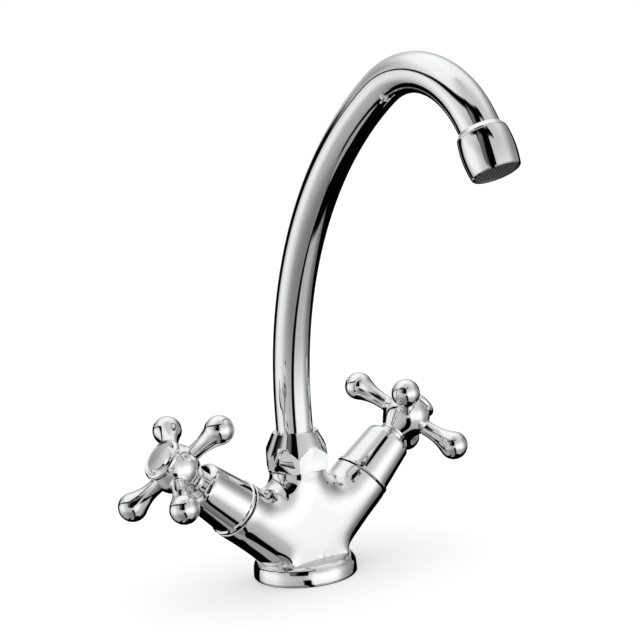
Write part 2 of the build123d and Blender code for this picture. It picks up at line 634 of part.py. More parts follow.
# ---------------------------------------------------------------- cross handle
def grip_arm():
    """One grip arm along +X: a waist that swells by one arc into the ball at its end."""
    step = BALL_CIRCLE_R - WAIST_AT
    swell_r = (step ** 2 - BALL_R ** 2 + WAIST_R ** 2) / (2 * (BALL_R - WAIST_R))
    swell_centre_r = WAIST_R + swell_r
    reach = BALL_R / (BALL_R + swell_r)
    join = (BALL_CIRCLE_R - step * reach, swell_centre_r * reach)
    half_turn = asin(step / (BALL_R + swell_r)) / 2
    swell_mid = (WAIST_AT + swell_r * sin(half_turn), swell_centre_r - swell_r * cos(half_turn))
    ball_top = (BALL_CIRCLE_R, BALL_R)
    outline = make_face(Wire([
        Line((0, 0), (0, WAIST_R)),
        Line((0, WAIST_R), (WAIST_AT, WAIST_R)),
        ThreePointArc((WAIST_AT, WAIST_R), swell_mid, join),
        RadiusArc(join, ball_top, BALL_R),
        RadiusArc(ball_top, (BALL_CIRCLE_R + BALL_R, 0), BALL_R),
        Line((BALL_CIRCLE_R + BALL_R, 0), (0, 0)),
    ]))
    return Pos(0, 0, ARM_PLANE) * revolve(outline, Axis.X)


def hub():
    """Bulb-shaped hub on a short collar."""
    return turned(
        Line((0, HUB_BOTTOM), (HUB_COLLAR_R, HUB_BOTTOM)),
        Line((HUB_COLLAR_R, HUB_BOTTOM), (HUB_COLLAR_R, HUB_COLLAR_TOP)),
        Spline((HUB_COLLAR_R, HUB_COLLAR_TOP), (HUB_R, HUB_BELLY_S), (HUB_TOP_R, HUB_TOP),
               tangents=((HUB_FLARE, 1), (-HUB_FLARE, 1))),
        Line((HUB_TOP_R, HUB_TOP), (0, HUB_TOP)),
        Line((0, HUB_TOP), (0, HUB_BOTTOM)),
    )


def cross_handle():
    handle = hub()
    for arm in polar(grip_arm(), 4):
        handle += arm
    roots = [edge for edge in handle.edges().filter_by(GeomType.BSPLINE)
             if hypot(edge.center().X, edge.center().Y) < WAIST_AT and edge.length > WAIST_R
             and abs(edge.center().Z - ARM_PLANE) < WAIST_R]
    handle = fillet(roots, GRIP_ROOT_FILLET)
    handle -= rod(HUB_RECESS_R, HUB_BOTTOM - CUT_PAST, HUB_BOTTOM + HUB_RECESS_DEPTH)
    square = SPINDLE_SQUARE + 2 * FIT_GAP
    handle -= block(square, square, HUB_BOTTOM, SPINDLE_TOP + FIT_GAP)
    handle -= rod(SCREW_R + FIT_GAP, SPINDLE_TOP, screw_seat + CUT_PAST)
    return handle - rod(CAP_SOCKET_R, screw_seat, HUB_TOP + CUT_PAST)


def handle_screw():
    """Slotted pan-head screw that clamps the handle to the spindle."""
    head_top = screw_seat + SCREW_HEAD_HEIGHT
    head = fillet(rod(SCREW_HEAD_R, screw_seat, head_top).edges().group_by(Axis.Z)[-1], SCREW_HEAD_ROUND)
    slot = block(SCREW_SLOT, 4 * SCREW_HEAD_R, head_top - SCREW_SLOT, head_top + CUT_PAST)
    return rod(SCREW_R, screw_seat - SCREW_LENGTH, screw_seat + SMALL_CHAMFER) + head - slot


def index_button():
    """Round cap with a rolled rim and a raised, slightly domed face; its skirt pushes into the hub."""
    rim_top = HUB_TOP + CAP_RIM_HEIGHT
    face_top = HUB_TOP + CAP_FACE_HEIGHT
    groove_z = rim_top - CAP_GROOVE
    skirt_r = CAP_SOCKET_R - FIT_GAP
    skirt_bottom = HUB_TOP - CAP_SKIRT_LENGTH
    roll_start = (CAP_R - CAP_ROLL / 2, HUB_TOP)
    roll_end = (CAP_R - CAP_ROLL, rim_top)
    face_edge = (CAP_FACE_R - CAP_FACE_BEVEL, face_top)
    apex = (0, face_top + CAP_DOME)
    return turned(
        *Polyline(apex, (0, HUB_TOP), (skirt_r - CAP_SKIRT_WALL, HUB_TOP),
                  (skirt_r - CAP_SKIRT_WALL, skirt_bottom), (skirt_r, skirt_bottom), (skirt_r, HUB_TOP),
                  roll_start).edges(),
        ThreePointArc(roll_start, (CAP_R, HUB_TOP + CAP_RIM_HEIGHT * CAP_ROLL_MIDDLE), roll_end),
        *Polyline(roll_end, (CAP_FACE_R + CAP_GROOVE_WIDTH, groove_z), (CAP_FACE_R, groove_z),
                  face_edge).edges(),
        TangentArc(apex, face_edge, tangent=(1, 0)),
    )


# ---------------------------------------------------------------- write the nodes
def main():
    os.makedirs("parts", exist_ok=True)
    save("body", body())
    save("base_gasket", base_gasket())
    save("spout_nut", spout_nut())
    save("slide_ring", slide_ring())
    save("spout_spigot", spout_spigot())
    save("spout_orings", spout_orings())
    save("spout_tube", spout_tube())

    at_end = spout_end_location()
    save("spout_end_collar", at_end * spout_end_collar())
    save("aerator_housing", at_end * aerator_housing())
    save("aerator_washer", at_end * aerator_washer())
    save("aerator_insert", at_end * aerator_insert())
    save("aerator_screen", at_end * aerator_screen())

    fixed = {"valve_seal": valve_seal(), "fixed_disc": fixed_disc(), "valve_bonnet": valve_bonnet(),
             "bonnet_oring": bonnet_oring(), "valve_shroud": valve_shroud()}
    turning = {"moving_disc": moving_disc(), "valve_spindle": valve_spindle(),
               "spindle_orings": spindle_orings(), "spindle_circlip": spindle_circlip(),
               "cross_handle": cross_handle(), "handle_screw": handle_screw(),
               "index_button": index_button()}
    for prefix, side, turn in (("left", -1, LEFT_HANDLE_TURN), ("right", 1, RIGHT_HANDLE_TURN)):
        for name, piece in fixed.items():
            save(f"{prefix}_{name}", on_arm(side, piece))
        for name, piece in turning.items():
            save(f"{prefix}_{name}", on_arm(side, Rot(0, 0, turn) * piece))


main()
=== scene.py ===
"""Looks of the two handle kitchen mixer: polished chrome, brass, rubber and plastic in a light tent."""
import json
import math

import bmesh
import bpy
from mathutils import Matrix, Vector


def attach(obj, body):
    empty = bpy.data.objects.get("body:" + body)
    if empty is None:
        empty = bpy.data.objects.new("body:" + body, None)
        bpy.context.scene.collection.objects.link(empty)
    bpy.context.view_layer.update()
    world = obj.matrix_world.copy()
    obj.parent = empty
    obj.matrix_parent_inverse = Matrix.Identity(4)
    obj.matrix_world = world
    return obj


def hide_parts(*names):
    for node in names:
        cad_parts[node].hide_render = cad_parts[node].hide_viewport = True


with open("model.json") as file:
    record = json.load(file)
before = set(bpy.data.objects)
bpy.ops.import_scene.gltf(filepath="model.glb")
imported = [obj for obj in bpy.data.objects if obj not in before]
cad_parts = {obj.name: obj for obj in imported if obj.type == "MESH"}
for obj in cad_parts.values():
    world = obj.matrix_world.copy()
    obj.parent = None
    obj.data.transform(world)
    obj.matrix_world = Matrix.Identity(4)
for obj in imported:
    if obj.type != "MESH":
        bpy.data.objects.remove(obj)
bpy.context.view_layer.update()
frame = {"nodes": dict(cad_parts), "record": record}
NODES = frame["nodes"]
BEHAVIOUR = frame["record"]["behaviour"]

# ---------------------------------------------------------------- camera, floor and room
CAMERA_PLACE = (-0.50016, -0.74878, 0.27531)
CAMERA_LOOKS_AT = (-0.025443, -0.06526, 0.136706)
CAMERA_ROLL = -4.29             # degrees
CAMERA_LENS = 106.43            # mm
SENSOR_WIDTH = 36               # mm
NEAREST_SEEN = 0.01             # metres, as are the other distances here
FARTHEST_SEEN = 50
FLOOR_RADIUS = 12.0
FLOOR_SIDES = 96
PAPER_WHITE = 0.97
FLOOR_LIFT = 0.10               # the paper is this much brighter to the camera
ROOM_LIGHT = 1.03               # the room's strength as a lamp; it is seen at a strength of 1

# ---------------------------------------------------------------- tent, in degrees
# Bearings run from -180 to 180, positive to the right of the tent's front, and heights from -90 to
# 90 above the horizon. A softness is half the width over which an edge fades.
FULL_TURN = 360
HALF_TURN = 180
HEIGHTS = (-90, 90)
TENT_RADIUS = 6.0               # in metres
TENT_DETAIL = 5                 # subdivisions of its round shell
TENT_FRONT = 235.2              # the tent's zero bearing, counted from +X
TENT_STRENGTH = 1.28
DARKEST = 0.04                  # tone of the flags
SCREEN_GAMMA = 2.2              # tones are meant as seen on a screen

# Each list gives (bearing, height) along one edge of a dark flag.
UPPER_FLAG_TOP = (
    (-180, -8), (-165, -6), (-152, 8), (-135, 12), (-122, 6), (-110, 16), (-90, 31), (-75, 39),
    (-60, 45), (-45, 51), (-30, 56), (-12, 57), (24, 60), (32, 56), (36, 50), (37, 8), (132, 8),
    (144, 15), (160, 12), (171, 6), (180, 8))
UPPER_FLAG_FOOT = (
    (-180, -90), (-130, -90), (-122, 0), (-110, 11), (-90, 24), (-75, 29), (-60, 35), (-46, 40),
    (-38, 30), (-34, 9), (6, 9), (9, 50), (24, 50), (32, 47), (36, 50), (37, 8), (132, 8),
    (144, -14), (160, -14), (171, 6), (180, 8))
UPPER_FLAG_SOFTNESS = 2.5
LOWER_FLAG_TOP = (
    (-180, -14), (-135, -16), (-125, -55), (-112, -64), (-60, -67), (-40, -74), (5, -74), (20, -61),
    (95, -60), (103, -52), (111, -42), (118, -30), (128, -18), (140, -10), (180, -12))
LOWER_FLAG_SOFTNESS = 3.0

VEIL_EDGES = (-40, -20)         # bearings of the thin cloth beside the camera's opening
VEIL_SOFTNESS = (2.0, 6.0)      # at those two edges
VEIL_TOP = 47
VEIL_TOP_SOFTNESS = 3.0
VEIL_LIGHT = 0.55               # share of the panel's tone that comes through it

GAP_MIDDLE = -0.5               # bearing of the gap between the front panels, at the horizon
GAP_LEAN = 0.33                 # its change of bearing over height
GAP_HALF_WIDTH = 8.0
GAP_SOFTNESS = 2.5
GAP_TOP = -8.5
GAP_TOP_SOFTNESS = 1.5

CARD_EDGES = (-128, 8)          # bearings of the grey card on the floor
CARD_SOFTNESS = 3.0
CARD_TOP = -74
CARD_TOP_SOFTNESS = 1.5
CARD_TONE = 0.58

# Tones as chrome shows them, from 0 to 1: of the panels and the roof along the bearing, and the
# share that is left of the panels' tone along the height.
PANEL_TONE = (
    (-180, 0.85), (-128, 0.62), (-112, 0.82), (-98, 0.94), (-70, 0.93), (-45, 0.76), (-20, 0.70),
    (-2, 0.69), (20, 0.97), (58, 1.0), (72, 0.98), (82, 0.86), (97, 0.66), (110, 0.56), (130, 0.52),
    (150, 0.62), (180, 0.85))
ROOF_TONE = (
    (-180, 0.96), (-70, 0.93), (-35, 0.78), (0, 0.74), (60, 0.76), (100, 0.86), (140, 0.92),
    (180, 0.96))
PANEL_FADE = (
    (-90, 0.62), (-62, 0.64), (-45, 0.68), (-30, 0.72), (-17, 0.93), (-8, 1.0), (8, 1.0),
    (24, 0.86), (45, 0.76), (90, 0.86))
ROOF_START = 33.0               # height at which panels and roof meet
ROOF_SOFTNESS = 18.0

# ---------------------------------------------------------------- finishes
DULL_RANGE = (0.35, 0.75)       # smears make the surface duller over this part of their noise
TARNISH_RANGE = (0.4, 0.8)      # and change its colour over this part
WAVE_DEPTH = 0.00002            # depth of a surface's faint waves, in metres
LATHE_PITCH = 0.00025           # distance between the rings that turning leaves on brass
LATHE_DEPTH = 0.000015
LATHE_STRENGTH = 0.6
COLOUR_A, COLOUR_B, COLOUR_RESULT = 6, 7, 2     # a mix node's colour sockets, which share names

# ---------------------------------------------------------------- places on the object, in metres
WELD = 2e-6                     # points of one piece closer than this are one point
SPECK = 1e-7                    # edges shorter than this vanish
SHARP = 28.0                    # degrees between faces from which an edge is shaded sharp
SHARP_ON_CASTING = 45.0
SHARP_ON_WIRE = 60.0

# the casting is softened between two heights and up to a reach along each arm
CAST_LOW = 0.0104
CAST_HIGH = 0.0515
CAST_REACH = 0.043
CAST_START = (0, -0.016, 0.034)         # near a point of its front
CAST_ROUNDS = 96
# so is the flange's rim, between two heights and outside a radius
FLANGE_LOW = 0.0006
FLANGE_HIGH = 0.0094
FLANGE_IN = 0.0215
FLANGE_START = (0, -0.0255, 0.0006)
FLANGE_ROUNDS = 24
FINE_EDGE = 0.0012              # edges there are split until they are no longer than this
SPLIT_PASSES = 7                # or at most this often
CORNER = 80.0                   # degrees between faces from which the softening stops
FADE_LAYERS = 5                 # it grows over this many rows of points from its border

FOOT_HALF = 0.0149              # the foot's flat faces lie this far in front and behind
FOOT_PROUD = 0.0005             # the arms' ends stand out from them by less than this
FOOT_SLACK = 0.0001             # points this far behind the faces still count as on them
FOOT_WIDTH = 0.016              # the arms' ends lie within this distance of the middle
FOOT_TOP = 0.0135               # and below this height
FOOT_WELD = 0.00012             # points closer than this are welded there

COVER_R = 0.0137                # the valve cover's rim lies outside this radius
RIM_HEIGHT = 0.0024
RIM_PROUD = 0.0003              # the rim stands out this much more than on the solid
RIM_EDGE = 0.00032              # height of the broken edge at its foot
SEAM_WIDTH = 0.0007             # open joint between arm and cover, beyond the solids' own gap

LIP_R = 0.0098                  # inner radius of the housing's lip
SCREEN_ADVANCE = 0.0014         # the wire cloth lies this far outside the solid screen's middle
SCREEN_R = 0.0094               # its rim is wound on this radius
RIM_WIRE_R = 0.00035
WIRE_R = 0.00015
WIRE_PITCH = 0.0008
WIRE_CRIMP = 1.3                # a wire rises and falls by this many wire radii
RIM_SIDES = 8                   # facets round the rim's wire
RIM_STEPS = 72                  # and along it


# ---------------------------------------------------------------- node helpers
def link(tree, source, target):
    tree.links.new(source, target)


def feed(tree, value, socket):
    """Gives a socket a number, or another socket's value."""
    if isinstance(value, (int, float)):
        socket.default_value = value
    else:
        link(tree, value, socket)


def maths(tree, operation, *values, clamp=False):
    """One math node; a value may be a number or a socket."""
    node = tree.nodes.new("ShaderNodeMath")
    node.operation = operation
    node.use_clamp = clamp
    for socket, value in zip(node.inputs, values):
        feed(tree, value, socket)
    return node.outputs[0]


def product(tree, value, *others):
    for other in others:
        value = maths(tree, "MULTIPLY", value, other)
    return value


def curve(tree, share, span, points, low=0, high=1):
    """Value by straight runs between (angle, value) points.

    The share is the angle's part of the span, plus a half.
    """
    node = tree.nodes.new("ShaderNodeValToRGB")
    ramp = node.color_ramp
    ramp.interpolation = "LINEAR"
    while len(ramp.elements) > 1:
        ramp.elements.remove(ramp.elements[0])
    for index, (angle, value) in enumerate(points):
        position = angle / span + 0.5
        stop = ramp.elements[0] if index == 0 else ramp.elements.new(position)
        stop.position = position
        tone = (value - low) / (high - low)
        stop.color = (tone, tone, tone, 1)
    link(tree, share, node.inputs[0])
    return maths(tree, "MULTIPLY_ADD", node.outputs[0], high - low, low)


def soft_above(tree, value, edge, softness):
    """0 below the edge and 1 above it, with a soft change."""
    node = tree.nodes.new("ShaderNodeMapRange")
    node.interpolation_type = "SMOOTHSTEP"
    offset = maths(tree, "SUBTRACT", value, edge)
    link(tree, offset, node.inputs["Value"])
    node.inputs["From Min"].default_value = -softness
    node.inputs["From Max"].default_value = softness
    return node.outputs[0]


def soft_below(tree, value, edge, softness):
    """1 below the edge and 0 above it, with a soft change."""
    return soft_above(tree, maths(tree, "MULTIPLY", value, -1), -edge, softness)


def new_material(name):
    material = bpy.data.materials.new(name)
    material.use_nodes = True
    material.node_tree.nodes.clear()
    return material


def put_out(tree, kind, shader):
    """Ends a material or world with its surface."""
    out = tree.nodes.new(f"ShaderNodeOutput{kind}")
    link(tree, shader, out.inputs["Surface"])


# ---------------------------------------------------------------- tent, floor, room, camera
def tent_material():
    """Bright panels and dark flags, laid out by bearing and height."""
    material = new_material("tent_panels")
    tree = material.node_tree
    place = tree.nodes.new("ShaderNodeTexCoord")
    turn = tree.nodes.new("ShaderNodeVectorRotate")
    turn.rotation_type = "Z_AXIS"
    turn.inputs["Angle"].default_value = -math.radians(TENT_FRONT)
    link(tree, place.outputs["Object"], turn.inputs["Vector"])
    unit = tree.nodes.new("ShaderNodeVectorMath")
    unit.operation = "NORMALIZE"
    link(tree, turn.outputs[0], unit.inputs[0])
    split = tree.nodes.new("ShaderNodeSeparateXYZ")
    link(tree, unit.outputs[0], split.inputs[0])
    around = maths(tree, "ARCTAN2", split.outputs["Y"], split.outputs["X"])
    bearing_share = maths(tree, "MULTIPLY_ADD", around, 1 / (2 * math.pi), 0.5)
    bearing = maths(tree, "MULTIPLY_ADD", bearing_share, FULL_TURN, -HALF_TURN)
    rise = maths(tree, "ARCSINE", split.outputs["Z"])
    height = maths(tree, "MULTIPLY", rise, HALF_TURN / math.pi)
    height_share = maths(tree, "MULTIPLY_ADD", height, 1 / HALF_TURN, 0.5)

    def along_bearing(points, low=0, high=1):
        return curve(tree, bearing_share, FULL_TURN, points, low, high)

    def above_line(points, softness):
        return soft_above(tree, height, along_bearing(points, *HEIGHTS), softness)

    above_top = above_line(UPPER_FLAG_TOP, UPPER_FLAG_SOFTNESS)
    above_foot = above_line(UPPER_FLAG_FOOT, UPPER_FLAG_SOFTNESS)
    upper_flag = maths(tree, "SUBTRACT", above_foot, above_top, clamp=True)
    above_lower = above_line(LOWER_FLAG_TOP, LOWER_FLAG_SOFTNESS)

    # the thin cloth hangs in place of a part of the upper flag and lets some light through
    past_edges = [soft_above(tree, bearing, *edge) for edge in zip(VEIL_EDGES, VEIL_SOFTNESS)]
    veil = maths(tree, "SUBTRACT", *past_edges, clamp=True)
    veil = product(tree, veil, soft_below(tree, height, VEIL_TOP, VEIL_TOP_SOFTNESS))
    upper_flag = product(tree, upper_flag, maths(tree, "MULTIPLY_ADD", veil, -VEIL_LIGHT, 1.0))

    # narrow leaning gap between the two front panels
    leaning = maths(tree, "MULTIPLY_ADD", height, GAP_LEAN, bearing)
    from_gap = maths(tree, "ABSOLUTE", maths(tree, "SUBTRACT", leaning, GAP_MIDDLE))
    beside_gap = soft_above(tree, from_gap, GAP_HALF_WIDTH, GAP_SOFTNESS)
    over_gap = soft_above(tree, height, GAP_TOP, GAP_TOP_SOFTNESS)
    off_gap = maths(tree, "MAXIMUM", beside_gap, over_gap)

    # panels are brightest at the horizon and fade up and down into the roof and the floor
    panel = product(tree, along_bearing(PANEL_TONE), curve(tree, height_share, HALF_TURN, PANEL_FADE))
    roof = along_bearing(ROOF_TONE)
    tone = tree.nodes.new("ShaderNodeMix")
    link(tree, soft_above(tree, height, ROOF_START, ROOF_SOFTNESS), tone.inputs["Factor"])
    link(tree, panel, tone.inputs["A"])
    link(tree, roof, tone.inputs["B"])
    off_flag = maths(tree, "SUBTRACT", 1.0, upper_flag)
    lit = product(tree, tone.outputs["Result"], off_flag, above_lower, off_gap)

    left_edge, right_edge = CARD_EDGES
    on_card = product(
        tree,
        soft_above(tree, bearing, left_edge, CARD_SOFTNESS),
        soft_below(tree, bearing, right_edge, CARD_SOFTNESS),
        soft_below(tree, height, CARD_TOP, CARD_TOP_SOFTNESS))
    lit = maths(tree, "MAXIMUM", lit, product(tree, on_card, CARD_TONE))
    linear = maths(tree, "POWER", maths(tree, "MAXIMUM", lit, DARKEST), SCREEN_GAMMA)
    glow = tree.nodes.new("ShaderNodeEmission")
    link(tree, product(tree, linear, TENT_STRENGTH), glow.inputs["Strength"])
    put_out(tree, "Material", glow.outputs[0])
    material.cycles.emission_sampling = "NONE"
    return material


def floor_material():
    """White paper, lifted to the camera's eye only, so that it keeps the shadow."""
    material = new_material("white_paper_floor")
    tree = material.node_tree
    skin = tree.nodes.new("ShaderNodeBsdfDiffuse")
    skin.inputs["Color"].default_value = (PAPER_WHITE, PAPER_WHITE, PAPER_WHITE, 1)
    path = tree.nodes.new("ShaderNodeLightPath")
    lift = tree.nodes.new("ShaderNodeEmission")
    link(tree, product(tree, path.outputs["Is Camera Ray"], FLOOR_LIFT), lift.inputs["Strength"])
    both = tree.nodes.new("ShaderNodeAddShader")
    link(tree, skin.outputs[0], both.inputs[0])
    link(tree, lift.outputs[0], both.inputs[1])
    put_out(tree, "Material", both.outputs[0])
    return material


def show_only_to(obj, *kinds):
    for kind in ("camera", "diffuse", "glossy", "transmission", "volume_scatter", "shadow"):
        setattr(obj, f"visible_{kind}", kind in kinds)


def stage_piece(name, shape, material):
    mesh = bpy.data.meshes.new(name)
    shape.to_mesh(mesh)
    shape.free()
    mesh.materials.append(material)
    piece = bpy.data.objects.new(name, mesh)
    bpy.context.scene.collection.objects.link(piece)
    return piece


def build_tent_and_floor():
    shell = bmesh.new()
    bmesh.ops.create_icosphere(shell, subdivisions=TENT_DETAIL, radius=TENT_RADIUS)
    bmesh.ops.reverse_faces(shell, faces=shell.faces)
    tent = stage_piece("tent", shell, tent_material())
    show_only_to(tent, "glossy")
    ground = bmesh.new()
    bmesh.ops.create_circle(ground, cap_ends=True, segments=FLOOR_SIDES, radius=FLOOR_RADIUS)
    floor = stage_piece("floor", ground, floor_material())
    floor.visible_glossy = False


def build_room():
    """White all round: a lamp to the floor, plain white where it is seen or mirrored."""
    world = bpy.data.worlds.new("white_room")
    bpy.context.scene.world = world
    world.use_nodes = True
    tree = world.node_tree
    tree.nodes.clear()
    path = tree.nodes.new("ShaderNodeLightPath")
    seen = maths(tree, "ADD", path.outputs["Is Camera Ray"], path.outputs["Is Glossy Ray"], clamp=True)
    seen = maths(tree, "ADD", seen, path.outputs["Is Transmission Ray"], clamp=True)
    either = tree.nodes.new("ShaderNodeMixShader")
    link(tree, seen, either.inputs[0])
    # first as a lamp, then as seen
    for strength, socket in zip((ROOM_LIGHT, 1.0), either.inputs[1:]):
        background = tree.nodes.new("ShaderNodeBackground")
        background.inputs["Color"].default_value = (1, 1, 1, 1)
        background.inputs["Strength"].default_value = strength
        link(tree, background.outputs[0], socket)
    put_out(tree, "World", either.outputs[0])


def build_camera():
    camera = bpy.data.cameras.new("camera")
    camera.lens = CAMERA_LENS
    camera.sensor_width = SENSOR_WIDTH
    camera.clip_start = NEAREST_SEEN
    camera.clip_end = FARTHEST_SEEN
    holder = bpy.data.objects.new("camera", camera)
    bpy.context.scene.collection.objects.link(holder)
    ahead = (Vector(CAMERA_LOOKS_AT) - Vector(CAMERA_PLACE)).normalized()
    right = ahead.cross(Vector((0, 0, 1))).normalized()
    up = right.cross(ahead)
    roll = math.radians(CAMERA_ROLL)
    rolled_right = right * math.cos(roll) + up * math.sin(roll)
    rolled_up = up * math.cos(roll) - right * math.sin(roll)
    turn = Matrix((rolled_right, rolled_up, -ahead)).transposed()
    holder.matrix_world = Matrix.Translation(CAMERA_PLACE) @ turn.to_4x4()
    bpy.context.scene.camera = holder


# ---------------------------------------------------------------- finishes
def new_group(name, inputs, outputs):
    """Empty node group, returned with its two end nodes.

    An input given a tuple is a colour, and so is the output called Colour; the rest are numbers.
    """
    group = bpy.data.node_groups.new(name, "ShaderNodeTree")
    for label, value in inputs:
        kind = "NodeSocketColor" if isinstance(value, tuple) else "NodeSocketFloat"
        socket = group.interface.new_socket(label, in_out="INPUT", socket_type=kind)
        socket.default_value = (*value, 1) if isinstance(value, tuple) else value
    for label in outputs:
        kind = "NodeSocketColor" if label == "Colour" else "NodeSocketFloat"
        group.interface.new_socket(label, in_out="OUTPUT", socket_type=kind)
    return group, group.nodes.new("NodeGroupInput"), group.nodes.new("NodeGroupOutput")


def noise_at(group, place, size, detail, distortion=0.0):
    noise = group.nodes.new("ShaderNodeTexNoise")
    noise.inputs["Detail"].default_value = detail
    noise.inputs["Distortion"].default_value = distortion
    link(group, place, noise.inputs["Vector"])
    link(group, size, noise.inputs["Scale"])
    return noise.outputs["Fac"]


def spread(group, value, part, low=0.0, high=1.0):
    """Maps a part of a noise onto low to high, each a number or a socket."""
    node = group.nodes.new("ShaderNodeMapRange")
    for label, bound in zip(("From Min", "From Max", "To Min", "To Max"), (*part, low, high)):
        feed(group, bound, node.inputs[label])
    link(group, value, node.inputs["Value"])
    return node.outputs[0]


def handling_marks():
    """Faint smears and surface waves: puts out a colour, a roughness and a height."""
    group, start, end = new_group(
        "handling_marks",
        (("Wave Size", 60.0), ("Smear Size", 25.0), ("Smooth", 0.03), ("Dull", 0.08),
         ("Clean", (0.8, 0.8, 0.8)), ("Tarnished", (0.7, 0.7, 0.7))),
        ("Colour", "Roughness", "Height"))
    place = group.nodes.new("ShaderNodeTexCoord").outputs["Object"]
    waves = noise_at(group, place, start.outputs["Wave Size"], detail=1.0)
    smears = noise_at(group, place, start.outputs["Smear Size"], detail=5.0, distortion=0.6)
    roughness = spread(group, smears, DULL_RANGE, start.outputs["Smooth"], start.outputs["Dull"])
    tint = group.nodes.new("ShaderNodeMix")
    tint.data_type = "RGBA"
    link(group, spread(group, smears, TARNISH_RANGE), tint.inputs["Factor"])
    link(group, start.outputs["Clean"], tint.inputs[COLOUR_A])
    link(group, start.outputs["Tarnished"], tint.inputs[COLOUR_B])
    link(group, tint.outputs[COLOUR_RESULT], end.inputs["Colour"])
    link(group, roughness, end.inputs["Roughness"])
    link(group, waves, end.inputs["Height"])
    return group


def turning_marks():
    """Fine rings left by the lathe, along the valves' axes or upright: puts out a height."""
    group, start, end = new_group(
        "turning_marks", (("Sideways", 0.0), ("Upwards", 1.0), ("Pitch", LATHE_PITCH)), ("Height",))
    place = group.nodes.new("ShaderNodeTexCoord").outputs["Object"]
    split = group.nodes.new("ShaderNodeSeparateXYZ")
    link(group, place, split.inputs[0])
    # both arms lean outwards alike, so the distance from the middle serves either side
    outwards = maths(group, "ABSOLUTE", split.outputs["X"])
    along = maths(group, "ADD", product(group, outwards, start.outputs["Sideways"]),
                  product(group, split.outputs["Z"], start.outputs["Upwards"]))
    turns = maths(group, "DIVIDE", along, start.outputs["Pitch"])
    rings = maths(group, "SINE", product(group, turns, 2 * math.pi))
    link(group, maths(group, "MULTIPLY_ADD", rings, 0.5, 0.5), end.inputs["Height"])
    return group


def use_group(tree, group, **values):
    """Places a node group; an underscore in a value's name stands for a space."""
    node = tree.nodes.new("ShaderNodeGroup")
    node.node_tree = group
    for label, value in values.items():
        node.inputs[label.replace("_", " ")].default_value = value
    return node


def bump_from(tree, height, depth, strength):
    bump = tree.nodes.new("ShaderNodeBump")
    bump.inputs["Strength"].default_value = strength
    bump.inputs["Distance"].default_value = depth
    link(tree, height, bump.inputs["Height"])
    return bump


def finish(name, marks, clean, tarnished, smooth, dull, metallic=0.0, wave_size=60.0,
           wave_depth=WAVE_DEPTH, lathe=None, leaning=(0.0, 1.0)):
    """Principled surface; its colour, roughness and fine waves come from the shared groups."""
    material = new_material(name)
    tree = material.node_tree
    skin = tree.nodes.new("ShaderNodeBsdfPrincipled")
    skin.inputs["Metallic"].default_value = metallic
    worn = use_group(tree, marks, Wave_Size=wave_size, Smooth=smooth, Dull=dull, Clean=(*clean, 1),
                     Tarnished=(*tarnished, 1))
    link(tree, worn.outputs["Colour"], skin.inputs["Base Color"])
    link(tree, worn.outputs["Roughness"], skin.inputs["Roughness"])
    waves = bump_from(tree, worn.outputs["Height"], wave_depth, 1.0)
    if lathe:
        turned = use_group(tree, lathe, Sideways=leaning[0], Upwards=leaning[1])
        rings = bump_from(tree, turned.outputs["Height"], LATHE_DEPTH, LATHE_STRENGTH)
        link(tree, rings.outputs[0], waves.inputs["Normal"])
    link(tree, waves.outputs[0], skin.inputs["Normal"])
    put_out(tree, "Material", skin.outputs[0])
    return material


def build_finishes():
    marks = handling_marks()
    valve = valve_axis("right")
    brass = {"marks": marks, "clean": (0.72, 0.55, 0.28), "tarnished": (0.58, 0.41, 0.19), "smooth": 0.2,
             "dull": 0.38, "metallic": 1.0, "wave_size": 400.0, "lathe": turning_marks()}
    return {
        "chrome": finish(
            "polished_chrome", marks, clean=(0.80, 0.805, 0.81), tarnished=(0.77, 0.775, 0.785),
            smooth=0.02, dull=0.06, metallic=1.0),
        "brass": finish("turned_brass_upright", **brass),
        "valve_brass": finish("turned_brass_valve", **brass, leaning=(valve.x, valve.z)),
        "steel": finish(
            "stainless_steel", marks, clean=(0.46, 0.465, 0.47), tarnished=(0.36, 0.365, 0.37),
            smooth=0.22, dull=0.4, metallic=1.0, wave_size=300.0),
        "wire": finish(
            "drawn_steel_wire", marks, clean=(0.20, 0.205, 0.21), tarnished=(0.12, 0.12, 0.12),
            smooth=0.3, dull=0.5, metallic=1.0, wave_size=900.0),
        "rubber": finish(
            "seal_rubber", marks, clean=(0.022, 0.022, 0.023), tarnished=(0.05, 0.05, 0.048),
            smooth=0.5, dull=0.8, wave_size=900.0, wave_depth=0.00005),
        "plastic": finish(
            "moulded_acetal", marks, clean=(0.055, 0.055, 0.06), tarnished=(0.085, 0.085, 0.09),
            smooth=0.32, dull=0.5, wave_size=700.0, wave_depth=0.00003),
        "ceramic": finish(
            "lapped_ceramic", marks, clean=(0.88, 0.87, 0.83), tarnished=(0.80, 0.79, 0.74),
            smooth=0.12, dull=0.25, wave_size=500.0),
    }


# ---------------------------------------------------------------- the object's pieces
def body_of(node):
    return next(body for body, members in BEHAVIOUR["bodies"].items() if node in members)


def handle_joint(side):
    return next(joint for joint in BEHAVIOUR["joints"] if joint["name"] == f"{side}_handle_turn")


def valve_axis(side):
    """Direction of a side's arm, valve and handle, outwards."""
    axis = Vector(handle_joint(side)["axis"])
    return axis if axis.z > 0 else -axis


def own_mesh(node):
    """A node's surface with shared points."""
    shape = bmesh.new()
    shape.from_mesh(NODES[node].data)
    bmesh.ops.remove_doubles(shape, verts=shape.verts, dist=WELD)
    bmesh.ops.dissolve_degenerate(shape, edges=shape.edges, dist=SPECK)
    return shape


